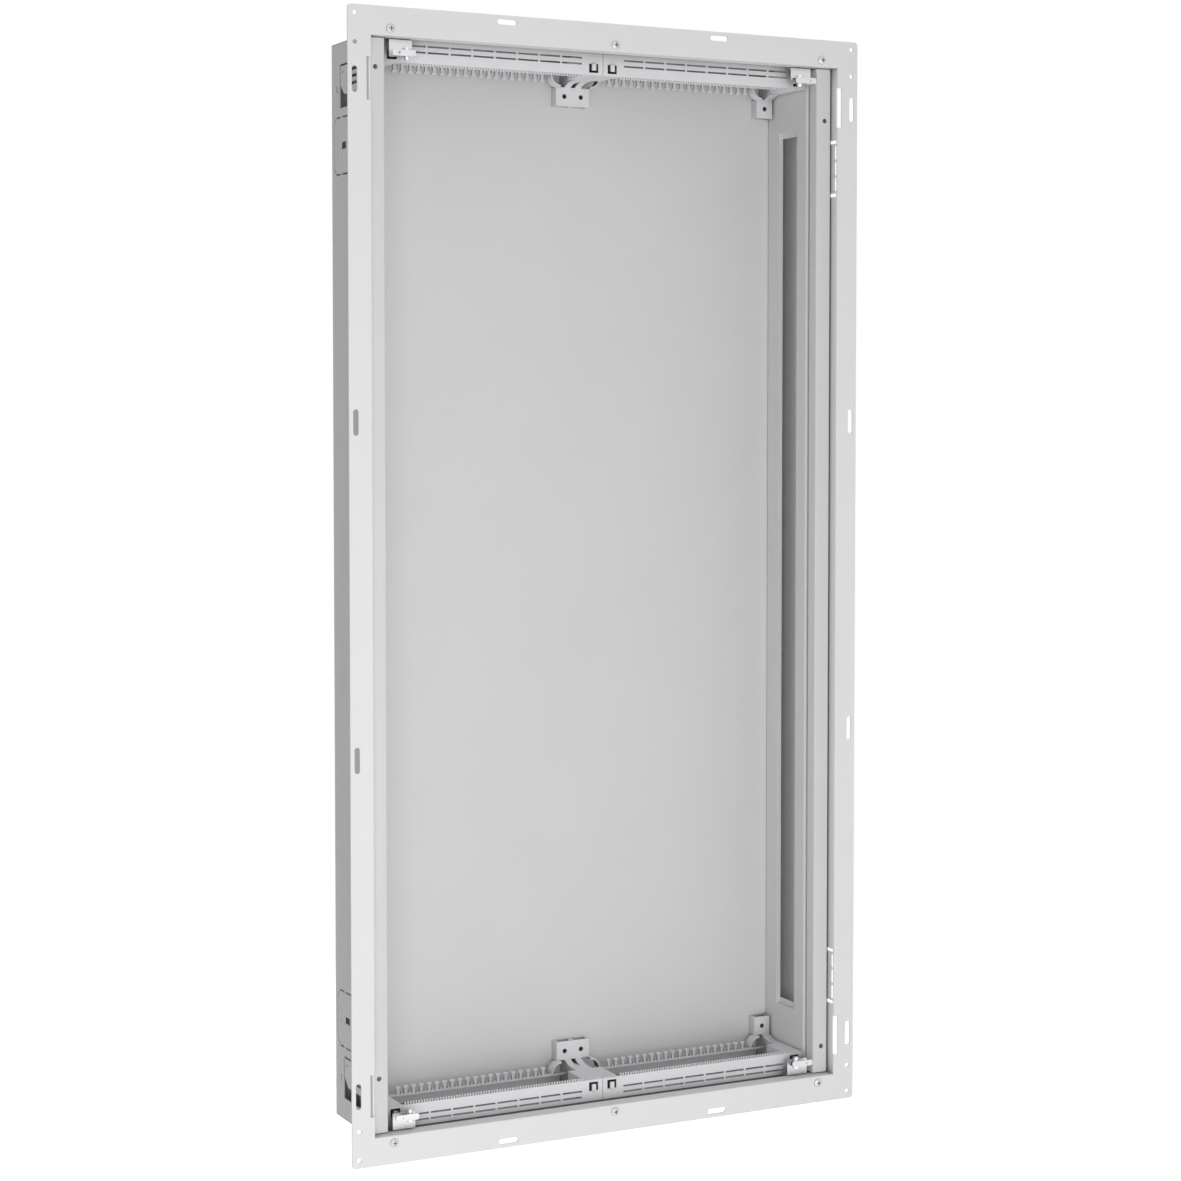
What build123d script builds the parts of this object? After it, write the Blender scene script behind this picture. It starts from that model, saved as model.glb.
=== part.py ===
import os
from build123d import *

os.makedirs("parts", exist_ok=True)

# Flush distribution board body, two fields wide. Millimetres, +Z up, the mouth faces -Y.
# The origin is the middle of the flange's rear face, which lies on the wall.
# Depths named as such are counted from the flange's front face.

# Sheets and walls
flange_sheet = 1.5
shell_sheet = 1.25
liner_sheet = 1.0
catch_sheet = 1.5
mould_wall = 2.5

# Flange frame
flange_width = 574.0
flange_height = 1124.0
flange_corner = 4.0
side_band = 24.3
end_band = 27.9
lip_depth = 17.0
lip_bend = 1.2
box_depth = 111.0

# Holes in the flange frame, inset from its outer edges
pin_hole = 4.5
pin_hole_inset = 7.5
pin_hole_end_inset = 7.9
pin_hole_second_inset = 35.7
end_slot_length = 20.8
end_slot_width = 5.4
end_slot_side_inset = 167.5
end_slot_inset = 6.5
side_slot_length = 25.5
side_slot_width = 5.6
side_slot_inset = 7.0
side_slot_outer_inset = 70.7
side_slot_inner_inset = 398.8
slit_width = 5.0
slit_length = 41.3
slit_inset = 69.5
slit_lip_cut = 3.0

# Hinge cut-outs in the side lips
hinge_inset = 132.6
hinge_span = 55.6
hinge_end_slot = 3.6
hinge_end_start = 2.3
hinge_end_reach = 13.0
hinge_slit_start = 2.1
hinge_slit_width = 5.1
hinge_slit_length = 14.6
hinge_slit_count = 3
hinge_bridge = 2.0

# Frame screws
screw_hole = 5.3
screw_shank = 4.8
screw_head = 8.6
screw_head_height = 2.6
screw_crown = 1.4
crown_flat = 5.6
screw_grip = 10.0
screw_side_inset = 19.7
screw_edge = 6.9
recess_arm = 4.4
recess_slot = 1.1
recess_depth = 1.5

# Fits
side_gap = 1.0
end_gap = 0.5
rest_gap = 0.5
bend_radius = 2.5

# Trough front strips and rims
strip_depth = 11.5
strip_width = 17.5
strip_return = 13.5
strip_bend = 2.0
strip_end_gap = 0.8
strip_hole = 5.0
strip_hole_inset = 7.7
strip_hole_near_inset = 27.9
strip_hole_far_inset = 53.8
corner_notch = 2.0
rim_width = 11.5

# Wall anchors in the trough sides
anchor_front = 26.0
anchor_length = 61.5
anchor_height = 43.0
anchor_inset = 46.0
lug_gap = 3.0
lug_top_gap = 2.0
lug_drop = 30.0
lug_chamfer = 9.0
lug_hole = 3.6
lug_hole_inset = 6.0
rung_length = 28.0
rung_gap = 3.0
rung_pitch = 6.9
rung_count = 3
rung_inset = 3.0
rung_drop = 14.8
anchor_slot_length = 6.5
anchor_slot_width = 3.4
anchor_slot_offset = 7.0
anchor_slot_drop = 24.0

# Knock-outs
punch_gap = 1.8
micro_joint = 3.0
knock_size = 58.0
knock_corner = 7.0
knock_inset = 126.0
knock_rear = 7.5
knock_slot_length = 24.0
knock_slot_width = 2.6
knock_slot_offset = 9.5
knock_window_height = 7.0
knock_window_length = 14.0
knock_window_offset = 26.0
entry_knock_inset = 40.3
entry_knock_margin = 6.65

# Side liners
liner_gap = 18.7
liner_front = 29.5
liner_band_gap = 0.6
liner_foot = 12.0
liner_bend = 2.4
liner_end_gap = 2.0
window_front = 49.0
window_width = 37.0
window_end_inset = 89.0
window_lip = 5.0
window_ledge = 6.0

# Cable-entry frames
seam_gap = 0.5
entry_side_gap = 2.15
entry_front_gap = 1.7
entry_height = 22.1
arm_width = 19.0
arm_drop = 0.3
arm_neck = 9.5
arm_shoulder = 27.2
arm_rear_gap = 1.5
foot_depth = 12.55
foot_height = 19.5
foot_overhang = 4.4
foot_pocket = 7.4
foot_hole = 5.0
foot_hole_drop = 9.4
gusset_length = 17.0
gusset_inset = 2.4
vent_length = 22.2
vent_bridge = 2.2
vent_end_gap = 20.0
vent_height = 1.9
vent_inset = 5.3
vent_spacing = 6.0
snap_width = 10.3
snap_height = 9.0
snap_inset = 5.4
snap_drop = 2.5
snap_slot = 2.2
snap_tongue = 4.6
snap_rise = 1.2

# Cable-tie combs
comb_offset = 7.7
comb_wall = 3.0
comb_bar = 2.0
comb_tooth = 8.0
comb_root_drop = 7.0
comb_end_gap = 15.5
tooth_pitch = 8.62
tooth_stem = 2.8
tooth_head = 5.2
tooth_head_height = 2.0
fin_wall = 1.8
fin_lap = 2.0
fin_sink = 0.6
fin_seat = 3.0

# Corner catches
catch_width = 24.0
catch_inset = 36.3
catch_front = 15.0
catch_height = 16.3
catch_top_gap = 0.8
catch_lip_gap = 2.0
catch_foot = 5.5
pivot_offset = 4.4
eye_gap = 0.5
ear_radius = 4.3
ear_drop = 9.0
pin_shank = 4.0
pin_fit = 0.05
pin_head = 5.0
pin_head_height = 0.8
pin_collar = 5.4
pin_collar_length = 7.7
play = 0.3
lever_arm = 5.5
lever_inner = 7.4
lever_outer = 17.1
lever_height = 6.0
lever_corner = 1.6
lever_eye = 4.5
lever_hole = 2.6
lever_hole_inset = 7.5

# Places worked out from the sizes above
front = -flange_sheet
open_width = flange_width - 2 * side_band
open_height = flange_height - 2 * end_band
lip_rear = front + lip_depth
shell_half = open_width / 2 - side_gap
end_inner = open_height / 2 + flange_sheet + end_gap
shell_back = front + box_depth
back_inner = shell_back - shell_sheet
strip_front = front + strip_depth
strip_half = open_height / 2 - strip_end_gap
notch_rear = lip_rear + corner_notch
liner_half = shell_half - liner_gap
catch_reach = open_width / 2 - catch_inset
catch_face = front + catch_front
catch_top = open_height / 2 - catch_top_gap
catch_low = catch_top - catch_height
joggle_rear = lip_rear + catch_lip_gap + catch_sheet
catch_rear = joggle_rear + catch_foot
pivot_reach = catch_reach - pivot_offset
pivot_y = catch_face - eye_gap - lever_eye
ear_top = catch_top - ear_drop
ear_low = ear_top - catch_sheet
lever_top = ear_low - play
lever_low = lever_top - lever_height
lever_face = pivot_y - lever_arm
entry_length = liner_half - entry_side_gap
entry_mid = entry_length / 2
entry_face = catch_rear + entry_front_gap
entry_rear = entry_face + mould_wall
entry_top = end_inner - rest_gap
entry_low = entry_top - entry_height
arm_face = entry_low + arm_drop
foot_top = arm_face - foot_overhang
foot_low = foot_top - foot_height
foot_face = back_inner - foot_depth
comb_face = foot_face - comb_offset
comb_root = entry_low + comb_root_drop
screw_reach = open_width / 2 - screw_side_inset
screw_height = open_height / 2 + screw_edge
corners = {"top_right": (1, 1), "top_left": (-1, 1), "bottom_right": (1, -1), "bottom_left": (-1, -1)}


def face_plane(place):
    """Plane facing the mouth at a place along Y, with X right and Z up."""
    return Plane.XZ.offset(-place)


def punched_outline(length, height, corner):
    """Knock-out line: a narrow punched ring with chamfered corners, held by micro-joints."""
    with BuildSketch() as outline:
        Rectangle(length, height)
        chamfer(outline.vertices(), corner)
        offset(amount=-punch_gap, kind=Kind.INTERSECTION, mode=Mode.SUBTRACT)
        with GridLocations(length / 3, 0, 2, 1):
            Rectangle(micro_joint, height, mode=Mode.SUBTRACT)
        Rectangle(length, micro_joint, mode=Mode.SUBTRACT)
    return outline.sketch


def wall_anchor():
    """Anchor opening drawn in depth and height, with the lug that stands back from its front edge."""
    lug_root = -anchor_length / 2
    lug_rear = anchor_length / 2 - lug_gap
    anchor_top = anchor_height / 2
    lug_top = anchor_top - lug_top_gap
    lug_low = anchor_top - lug_drop
    with BuildSketch() as anchor:
        Rectangle(anchor_length, anchor_height)
        with BuildLine():
            Polyline(
                (lug_root, lug_top),
                (lug_root, lug_low),
                (lug_rear - lug_chamfer, lug_low),
                (lug_rear, lug_low + lug_chamfer),
                (lug_rear, lug_top),
                close=True,
            )
        make_face(mode=Mode.SUBTRACT)
        with Locations((lug_rear - lug_hole_inset, lug_top - lug_hole_inset)):
            Circle(lug_hole / 2)
        # Rungs between the slots that weaken the lug's root, where it is bent out
        with Locations((lug_root + rung_inset + rung_length / 2, anchor_top - rung_drop)):
            with GridLocations(0, rung_pitch, 1, rung_count):
                Rectangle(rung_length, rung_gap)
        with Locations((anchor_length / 2 + anchor_slot_offset, anchor_top - anchor_slot_drop)):
            Rectangle(anchor_slot_width, anchor_slot_length)
    return anchor.sketch


def anchor_openings():
    """The wall anchors of one trough side, near both ends and the same way up."""
    anchor_mid = front + anchor_front + anchor_length / 2
    anchor_height_mid = flange_height / 2 - anchor_inset - anchor_height / 2
    with BuildSketch() as openings:
        with Locations((anchor_mid, anchor_height_mid), (anchor_mid, -anchor_height_mid)):
            add(wall_anchor())
    return openings.sketch


def knock_openings():
    """The knock-outs of the left trough side, each with a pry slot and a small window."""
    knock_edge = shell_back - knock_rear
    knock_height = flange_height / 2 - knock_inset
    with BuildSketch() as openings:
        with GridLocations(0, 2 * knock_height, 1, 2):
            with Locations((knock_edge - knock_size / 2, 0)):
                add(punched_outline(knock_size, knock_size, knock_corner))
            with Locations((knock_edge - knock_slot_offset, 0)):
                Rectangle(knock_slot_width, knock_slot_length)
            with Locations((knock_edge - knock_window_offset, 0)):
                Rectangle(knock_window_length, knock_window_height)
    return openings.sketch


def arm_plan(inset):
    """Plan of the two arms of an entry frame: wide at the front wall, a narrow neck at the foot."""
    shoulder = foot_face - arm_shoulder
    with BuildSketch() as plan:
        with BuildLine():
            Polyline(
                (0, entry_rear),
                (arm_width, entry_rear),
                (arm_width, shoulder),
                (arm_neck, shoulder),
                (arm_neck, back_inner - arm_rear_gap),
                (0, back_inner - arm_rear_gap),
                close=True,
            )
        make_face()
        offset(amount=-inset, kind=Kind.INTERSECTION)
        mirror(about=Plane.YZ.offset(entry_mid))
    return plan.sketch


def comb_fins():
    """Curved fins from the comb's root to the feet, drawn across the comb's own plane."""
    fin_side = entry_length / 2 - arm_width + fin_lap
    fin_radius = comb_root - foot_top + fin_sink
    with BuildSketch() as fins:
        with Locations((fin_side, 0)):
            Circle(fin_radius)
            Circle(fin_radius - fin_wall, mode=Mode.SUBTRACT)
            Rectangle(fin_radius, fin_radius, align=(Align.MAX, Align.MAX), mode=Mode.INTERSECT)
        mirror(about=Plane.YZ)
    return fins.sketch


# Trough: the back and sides are folded from one sheet
with BuildPart() as trough_shell:
    with BuildSketch(Plane.XY.offset(-end_inner)) as fold:
        with Locations((0, (notch_rear + shell_back) / 2)):
            Rectangle(2 * shell_half, shell_back - notch_rear)
        fillet(fold.vertices().group_by(Axis.Y)[-1], bend_radius)
    extrude(amount=2 * end_inner)
    fold_ends = trough_shell.faces().filter_by(Plane.XY)
    offset(amount=-shell_sheet, openings=fold_ends + trough_shell.faces().sort_by(Axis.Y)[:1])
    # Front strips: each side folds inwards and back again
    with BuildSketch(Plane.XY.offset(-strip_half)) as strips:
        strip_inner = shell_half - strip_width
        with BuildLine():
            Polyline(
                (shell_half, notch_rear),
                (shell_half, strip_front),
                (strip_inner, strip_front),
                (strip_inner, strip_front + strip_return),
                (strip_inner + shell_sheet, strip_front + strip_return),
                (strip_inner + shell_sheet, strip_front + shell_sheet),
                (shell_half - shell_sheet, strip_front + shell_sheet),
                (shell_half - shell_sheet, notch_rear),
                close=True,
            )
        make_face()
        fillet(strips.vertices().group_by(Axis.Y)[0], strip_bend)
        mirror(about=Plane.YZ)
    extrude(amount=2 * strip_half)
    # Strip holes, one side a half turn of the other
    for side in (1, -1):
        with BuildSketch(face_plane(strip_front)):
            with Locations(
                (side * (shell_half - strip_hole_inset), side * (strip_hole_near_inset - strip_half)),
                (side * (shell_half - strip_hole_inset), side * (strip_half - strip_hole_far_inset)),
            ):
                Circle(strip_hole / 2)
        extrude(amount=-shell_sheet, mode=Mode.SUBTRACT)
    # Wall anchors in both sides, one a half turn of the other, and knock-outs in the left one
    with BuildSketch(Plane.YZ.offset(-shell_half)):
        add(anchor_openings())
        add(knock_openings())
    extrude(amount=shell_sheet, mode=Mode.SUBTRACT)
    with BuildSketch(Plane(origin=(shell_half, 0, 0), x_dir=(0, 1, 0), z_dir=(-1, 0, 0))):
        add(anchor_openings())
    extrude(amount=shell_sheet, mode=Mode.SUBTRACT)
trough_shell.part.label = "trough_shell"
export_step(trough_shell.part, "parts/trough_shell.step")

# End plate, the top one: closes the fold, with cable knock-outs and a rim for the frame screws
with BuildPart() as end_plate:
    with BuildSketch(Plane.XY.offset(end_inner)) as plate:
        gap_mid = (entry_rear + comb_face) / 2
        knock_length = entry_length - 2 * entry_knock_inset
        knock_width = comb_face - entry_rear - 2 * entry_knock_margin
        with Locations((0, shell_back / 2)):
            Rectangle(2 * shell_half, shell_back)
        fillet(plate.vertices().group_by(Axis.Y)[-1], bend_radius)
        with Locations((entry_mid, gap_mid), (-entry_mid, gap_mid)):
            add(punched_outline(knock_length, knock_width, knock_corner), mode=Mode.SUBTRACT)
    extrude(amount=shell_sheet)
    with BuildSketch(face_plane(shell_sheet)):
        with Locations((0, end_inner + (shell_sheet + rim_width) / 2)):
            Rectangle(2 * shell_half, shell_sheet + rim_width)
        with Locations((0, screw_height)):
            with GridLocations(screw_reach, 0, 3, 1):
                Circle(screw_hole / 2, mode=Mode.SUBTRACT)
    extrude(amount=shell_sheet)
for end, turn in (("top", 0), ("bottom", 180)):
    with BuildPart() as closing:
        add(end_plate.part, rotation=(0, turn, 0))
    closing.part.label = f"end_plate_{end}"
    export_step(closing.part, f"parts/end_plate_{end}.step")

# Flange frame: flat wall flange with a lip folded back round the opening
with BuildPart() as flange_frame:
    with BuildSketch(Plane.XZ):
        RectangleRounded(flange_width, flange_height, flange_corner)
        Rectangle(open_width, open_height, mode=Mode.SUBTRACT)
    extrude(amount=flange_sheet)
    with BuildSketch(face_plane(front)):
        Rectangle(open_width + 2 * flange_sheet, open_height + 2 * flange_sheet)
        Rectangle(open_width, open_height, mode=Mode.SUBTRACT)
    extrude(amount=-lip_depth)
    mouth = flange_frame.faces().sort_by(Axis.Y)[0].inner_wires()[0]
    fillet(mouth.edges(), lip_bend)
    with BuildSketch(face_plane(front)):
        hole_x = flange_width - 2 * pin_hole_inset
        with GridLocations(hole_x, flange_height - 2 * pin_hole_end_inset, 2, 2):
            Circle(pin_hole / 2)
        with GridLocations(hole_x, flange_height - 2 * pin_hole_second_inset, 2, 2):
            Circle(pin_hole / 2)
        with GridLocations(flange_width - 2 * end_slot_side_inset, flange_height - 2 * end_slot_inset, 2, 2):
            SlotOverall(end_slot_length, end_slot_width)
        slot_x = flange_width - 2 * side_slot_inset
        with GridLocations(slot_x, flange_height - 2 * side_slot_outer_inset, 2, 2):
            SlotOverall(side_slot_length, side_slot_width, rotation=90)
        with GridLocations(slot_x, flange_height - 2 * side_slot_inner_inset, 2, 2):
            SlotOverall(side_slot_length, side_slot_width, rotation=90)
        with GridLocations(screw_reach, 2 * screw_height, 3, 2):
            Circle(screw_hole / 2)
    extrude(amount=-flange_sheet, mode=Mode.SUBTRACT)
    # Slits through the bend, in front of the wall anchors
    with BuildSketch(face_plane(front)):
        with GridLocations(open_width + slit_width, flange_height - 2 * slit_inset, 2, 2):
            Rectangle(slit_width, slit_length)
    extrude(amount=-slit_lip_cut, mode=Mode.SUBTRACT)
    # Hinge cut-outs through both side lips
    with BuildSketch(Plane.YZ.offset(-open_width / 2 - flange_sheet)):
        hinge_height = flange_height - 2 * hinge_inset
        with Locations((front + hinge_end_start + hinge_end_reach / 2, 0)):
            with GridLocations(0, hinge_height + hinge_span, 1, 2):
                Rectangle(hinge_end_reach, hinge_end_slot)
            with GridLocations(0, hinge_height - hinge_span, 1, 2):
                Rectangle(hinge_end_reach, hinge_end_slot)
        for end in (1, -1):
            with Locations((front + hinge_slit_start + hinge_slit_width / 2, end * hinge_height / 2)):
                with GridLocations(0, hinge_slit_length + hinge_bridge, 1, hinge_slit_count):
                    Rectangle(hinge_slit_width, hinge_slit_length)
    extrude(amount=open_width + 2 * flange_sheet, mode=Mode.SUBTRACT)
flange_frame.part.label = "flange_frame"
export_step(flange_frame.part, "parts/flange_frame.step")

# Side liner: inner side plate folded outwards in front and at the back, with a flanged window
with BuildPart() as side_liner:
    with BuildSketch(Plane.XY.offset(liner_end_gap - end_inner)) as liner_profile:
        liner_face = front + liner_front
        band_side = shell_half - shell_sheet - liner_band_gap
        with BuildLine():
            Polyline(
                (liner_half, liner_face),
                (band_side, liner_face),
                (band_side, liner_face + liner_sheet),
                (liner_half + liner_sheet, liner_face + liner_sheet),
                (liner_half + liner_sheet, back_inner - liner_sheet),
                (liner_half + liner_foot, back_inner - liner_sheet),
                (liner_half + liner_foot, back_inner),
                (liner_half, back_inner),
                close=True,
            )
        make_face()
        fillet(liner_profile.vertices().group_by(Axis.X)[1], liner_bend - liner_sheet)
        fillet(liner_profile.vertices().group_by(Axis.X)[0], liner_bend)
    extrude(amount=2 * (end_inner - liner_end_gap))
    window_length = flange_height - 2 * window_end_inset
    window_mid = front + window_front + window_width / 2
    with BuildSketch(Plane.YZ.offset(liner_half)):
        with Locations((window_mid, 0)):
            Rectangle(window_width + 2 * liner_sheet, window_length + 2 * liner_sheet)
    extrude(amount=window_lip)
    with BuildSketch(Plane.YZ.offset(liner_half)):
        with Locations((window_mid, 0)):
            Rectangle(window_width, window_length)
    extrude(amount=window_lip, mode=Mode.SUBTRACT)
    with BuildSketch(Plane.YZ.offset(liner_half + window_lip)):
        with Locations((window_mid, 0)):
            with GridLocations(0, window_length - window_ledge, 1, 2):
                Rectangle(window_width, window_ledge)
    extrude(amount=-liner_sheet)
for side, turn in (("right", 0), ("left", 180)):
    with BuildPart() as liner:
        add(side_liner.part, rotation=(0, turn, 0))
    liner.part.label = f"side_liner_{side}"
    export_step(liner.part, f"parts/side_liner_{side}.step")

# Cable-entry frame, the top right one: vented front wall, arms, feet and comb in one moulding
with BuildPart() as entry_frame:
    with BuildSketch(face_plane(entry_face)):
        vent_pitch = vent_length + vent_bridge
        vent_count = int((entry_length - 2 * vent_end_gap) / vent_pitch)
        with Locations((entry_mid + seam_gap / 4, entry_top - entry_height / 2)):
            Rectangle(entry_length - seam_gap / 2, entry_height)
        with Locations((entry_mid, entry_top - vent_inset - vent_spacing / 2)):
            with GridLocations(vent_pitch, vent_spacing, vent_count, 2):
                Rectangle(vent_length, vent_height, mode=Mode.SUBTRACT)
    extrude(amount=-mould_wall)
    # Arms, hollow from the end wall's side
    with BuildSketch(Plane.XY.offset(arm_face)):
        add(arm_plan(0))
    extrude(amount=entry_top - arm_face)
    with BuildSketch(Plane.XY.offset(arm_face + mould_wall)):
        add(arm_plan(mould_wall))
    extrude(amount=entry_top - arm_face - mould_wall, mode=Mode.SUBTRACT)
    # Snap windows into the hollow arms, with tongues that hang in them and stand out of the wall
    with BuildSketch(face_plane(entry_face)):
        snap_side = entry_length - 2 * snap_inset - snap_width
        snap_mid = entry_low + snap_drop + snap_height / 2
        with Locations((entry_mid, snap_mid)):
            with GridLocations(snap_side, 0, 2, 1):
                Rectangle(snap_width, snap_height)
    extrude(amount=-2 * mould_wall, mode=Mode.SUBTRACT)
    with BuildSketch(face_plane(entry_face - snap_rise)):
        with Locations((entry_mid, snap_mid + snap_slot / 2)):
            with GridLocations(snap_side, 0, 2, 1):
                Rectangle(snap_tongue, snap_height - snap_slot)
    extrude(amount=-snap_rise - mould_wall)
    # Feet on the back of the trough, open at their inner ends
    with BuildSketch(face_plane(foot_face)):
        with Locations((entry_mid, foot_top - foot_height / 2)):
            with GridLocations(entry_length - arm_width, 0, 2, 1):
                Rectangle(arm_width, foot_height)
    extrude(amount=-foot_depth)
    with BuildSketch(Plane.XY.offset(foot_low)):
        with Locations((entry_mid, foot_face + foot_depth / 2)):
            with GridLocations(entry_length - arm_width, 0, 2, 1):
                Rectangle(arm_width - 2 * mould_wall, foot_depth - 2 * mould_wall)
    extrude(amount=foot_pocket, mode=Mode.SUBTRACT)
    # Hollow-curved gussets that carry the feet on the arm necks, clear of the middle seam
    with BuildSketch(Plane.YZ.offset(gusset_inset)) as slope:
        gusset_start = foot_face - gusset_length
        with BuildLine():
            TangentArc((gusset_start, arm_face), (foot_face, foot_top), tangent=(1, 0))
            Polyline(
                (foot_face, foot_top),
                (back_inner, foot_top),
                (back_inner, arm_face),
                (gusset_start, arm_face),
            )
        make_face()
    extrude(amount=arm_neck - gusset_inset)
    extrude(slope.sketch.moved(Location((entry_length - arm_neck - gusset_inset, 0, 0))), amount=arm_neck)
    # Fixing holes in the feet
    with BuildSketch(face_plane(foot_face)):
        with Locations((entry_mid, foot_top - foot_hole_drop)):
            with GridLocations(entry_length - arm_width, 0, 2, 1):
                Circle(foot_hole / 2)
    extrude(amount=-foot_depth, mode=Mode.SUBTRACT)
    # Comb with headed teeth between the arm necks
    tooth_count = int((entry_length - 2 * arm_width - 2 * comb_end_gap) / tooth_pitch) + 1
    with BuildSketch(face_plane(comb_face)):
        with Locations((entry_mid, comb_root + comb_bar / 2)):
            Rectangle(entry_length - 2 * arm_neck, comb_bar)
        with Locations((entry_mid, comb_root - comb_tooth / 2)):
            with GridLocations(tooth_pitch, 0, tooth_count, 1):
                Rectangle(tooth_stem, comb_tooth)
        with Locations((entry_mid, comb_root - comb_tooth + tooth_head_height / 2)):
            with GridLocations(tooth_pitch, 0, tooth_count, 1):
                Rectangle(tooth_head, tooth_head_height)
    extrude(amount=-comb_wall)
    # Fins that tie the comb to the feet
    with BuildSketch(face_plane(comb_face)):
        with Locations((entry_mid, comb_root)):
            add(comb_fins())
    extrude(amount=-comb_offset - fin_seat)

# Corner catch bracket, top right: front plate, joggled foot on the end wall, ear for the pin
with BuildPart() as catch_bracket:
    with BuildSketch(Plane.YZ.offset(catch_reach - catch_width / 2)):
        with BuildLine():
            Polyline(
                (catch_face, catch_low),
                (catch_face, catch_top),
                (joggle_rear - catch_sheet, catch_top),
                (joggle_rear - catch_sheet, end_inner),
                (catch_rear, end_inner),
                (catch_rear, end_inner - catch_sheet),
                (joggle_rear, end_inner - catch_sheet),
                (joggle_rear, catch_top - catch_sheet),
                (catch_face + catch_sheet, catch_top - catch_sheet),
                (catch_face + catch_sheet, catch_low),
                close=True,
            )
        make_face()
    extrude(amount=catch_width)
    with BuildSketch(Plane.XY.offset(ear_low)):
        with Locations((pivot_reach, (pivot_y + catch_face) / 2)):
            Rectangle(2 * ear_radius, catch_face - pivot_y)
        with Locations((pivot_reach, pivot_y)):
            Circle(ear_radius)
            Circle(pin_shank / 2 + pin_fit, mode=Mode.SUBTRACT)
    extrude(amount=catch_sheet)

# Catch lever: a front lip with a finger hole and an eye that turns on the pin
with BuildPart() as catch_lever:
    with BuildSketch(face_plane(lever_face)):
        with Locations((pivot_reach + (lever_outer - lever_inner) / 2, (lever_top + lever_low) / 2)):
            RectangleRounded(lever_inner + lever_outer, lever_height, lever_corner)
        with Locations((pivot_reach + lever_outer - lever_hole_inset, (lever_top + lever_low) / 2)):
            Circle(lever_hole / 2, mode=Mode.SUBTRACT)
    extrude(amount=-catch_sheet)
    with BuildSketch(Plane.XY.offset(lever_top - catch_sheet)):
        with Locations((pivot_reach, (pivot_y + lever_face) / 2)):
            Rectangle(2 * lever_eye, pivot_y - lever_face)
        with Locations((pivot_reach, pivot_y)):
            Circle(lever_eye)
            Circle(pin_shank / 2 + pin_fit, mode=Mode.SUBTRACT)
    extrude(amount=catch_sheet)

# Catch pin: head on the ear, shank through ear and eye, collar under the eye
with BuildPart() as catch_pin:
    with BuildSketch(Plane(origin=(pivot_reach, pivot_y, 0), x_dir=(1, 0, 0), z_dir=(0, -1, 0))):
        collar_top = lever_top - catch_sheet - play
        with BuildLine():
            Polyline(
                (0, collar_top - pin_collar_length),
                (pin_collar / 2, collar_top - pin_collar_length),
                (pin_collar / 2, collar_top),
                (pin_shank / 2, collar_top),
                (pin_shank / 2, ear_top),
                (pin_head / 2, ear_top),
                (pin_head / 2, ear_top + pin_head_height),
                (0, ear_top + pin_head_height),
                close=True,
            )
        make_face()
    revolve(axis=Axis((pivot_reach, pivot_y, 0), (0, 0, 1)))

# One copy of each corner piece for each corner
masters = {
    "entry_frame": entry_frame.part,
    "catch_bracket": catch_bracket.part,
    "catch_lever": catch_lever.part,
    "catch_pin": catch_pin.part,
}
for corner, (side, end) in corners.items():
    for name, master in masters.items():
        with BuildPart() as copy:
            add(master)
            if side < 0:
                mirror(about=Plane.YZ, mode=Mode.REPLACE)
            if end < 0:
                mirror(about=Plane.XY, mode=Mode.REPLACE)
        copy.part.label = f"{name}_{corner}"
        export_step(copy.part, f"parts/{name}_{corner}.step")

# Frame screws: pan heads with a cross recess, one group
with BuildPart() as screw:
    with BuildSketch():
        crown_side = front - screw_head_height + screw_crown
        with BuildLine():
            Polyline(
                (0, front - screw_head_height),
                (0, front + screw_grip),
                (screw_shank / 2, front + screw_grip),
                (screw_shank / 2, front),
                (screw_head / 2, front),
                (screw_head / 2, crown_side),
                (crown_flat / 2, front - screw_head_height),
                close=True,
            )
        make_face()
    revolve(axis=Axis.Y)
    with BuildSketch(face_plane(front - screw_head_height)):
        Rectangle(recess_arm, recess_slot)
        Rectangle(recess_slot, recess_arm)
    extrude(amount=-recess_depth, mode=Mode.SUBTRACT)
with BuildPart() as frame_screws:
    for height in (-screw_height, screw_height):
        with Locations((-screw_reach, 0, height), (0, 0, height), (screw_reach, 0, height)):
            add(screw.part)
frame_screws.part.label = "frame_screws"
export_step(frame_screws.part, "parts/frame_screws.step")
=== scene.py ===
import math

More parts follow.
